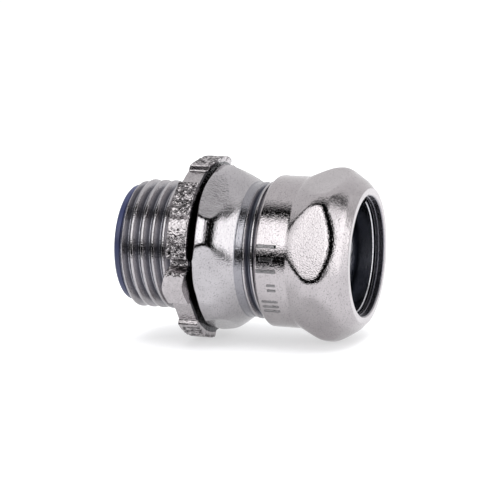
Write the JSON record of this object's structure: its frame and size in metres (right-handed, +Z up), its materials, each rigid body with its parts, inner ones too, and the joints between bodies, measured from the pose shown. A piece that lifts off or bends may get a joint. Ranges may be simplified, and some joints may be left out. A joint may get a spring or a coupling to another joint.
{
  "type": "conduit compression fitting",
  "caption": "Threaded conduit connector with a hexagon gland nut, split gripping ring, lugged locknut and blue insulated throat.",
  "frame": {"origin": "centre of the body's flat shoulder that faces the box wall, on the fitting's axis", "axes": "+X along the axis towards the conduit opening of the nut, -X along the box thread, +Z up"},
  "size_m": [0.0399, 0.0296, 0.0296],
  "materials": {
    "zinc_body": "bright zinc plate over turned steel",
    "zinc_nut": "bright zinc plate, slightly uneven",
    "ring_steel": "plain zinc plated spring steel",
    "locknut_steel": "zinc plate with rough sheared edges",
    "blue_plastic": "satin moulded plastic"
  },
  "bodies": {
    "connector": {"connector_body": "zinc_body"},
    "ring": {"compression_ring": "ring_steel"},
    "nut": {"compression_nut": "zinc_nut"},
    "liner": {"throat_liner": "blue_plastic"},
    "locknut": {"locknut": "locknut_steel"}
  },
  "joints": [
    {"name": "nut_travel", "type": "slide", "parent": "connector", "child": "ring", "axis": [1, 0, 0], "range_m": [-0.0011, 0.0058]},
    {"name": "nut_turn", "type": "hinge", "parent": "ring", "child": "nut", "pos_m": [0.0175, 0, 0], "axis": [1, 0, 0], "range_deg": [-250, 1440]},
    {"name": "locknut_turn", "type": "hinge", "parent": "connector", "child": "liner", "pos_m": [-0.009, 0, 0], "axis": [1, 0, 0], "range_deg": [-1800, 60]},
    {"name": "locknut_travel", "type": "slide", "parent": "liner", "child": "locknut", "axis": [1, 0, 0], "range_m": [-0.0092, 0.00035]}
  ],
  "couplings": [
    {"joint": "nut_travel", "follows": "nut_turn", "m_per_rad": 0.00022457},
    {"joint": "locknut_travel", "follows": "locknut_turn", "m_per_rad": 0.00028871}
  ]
}
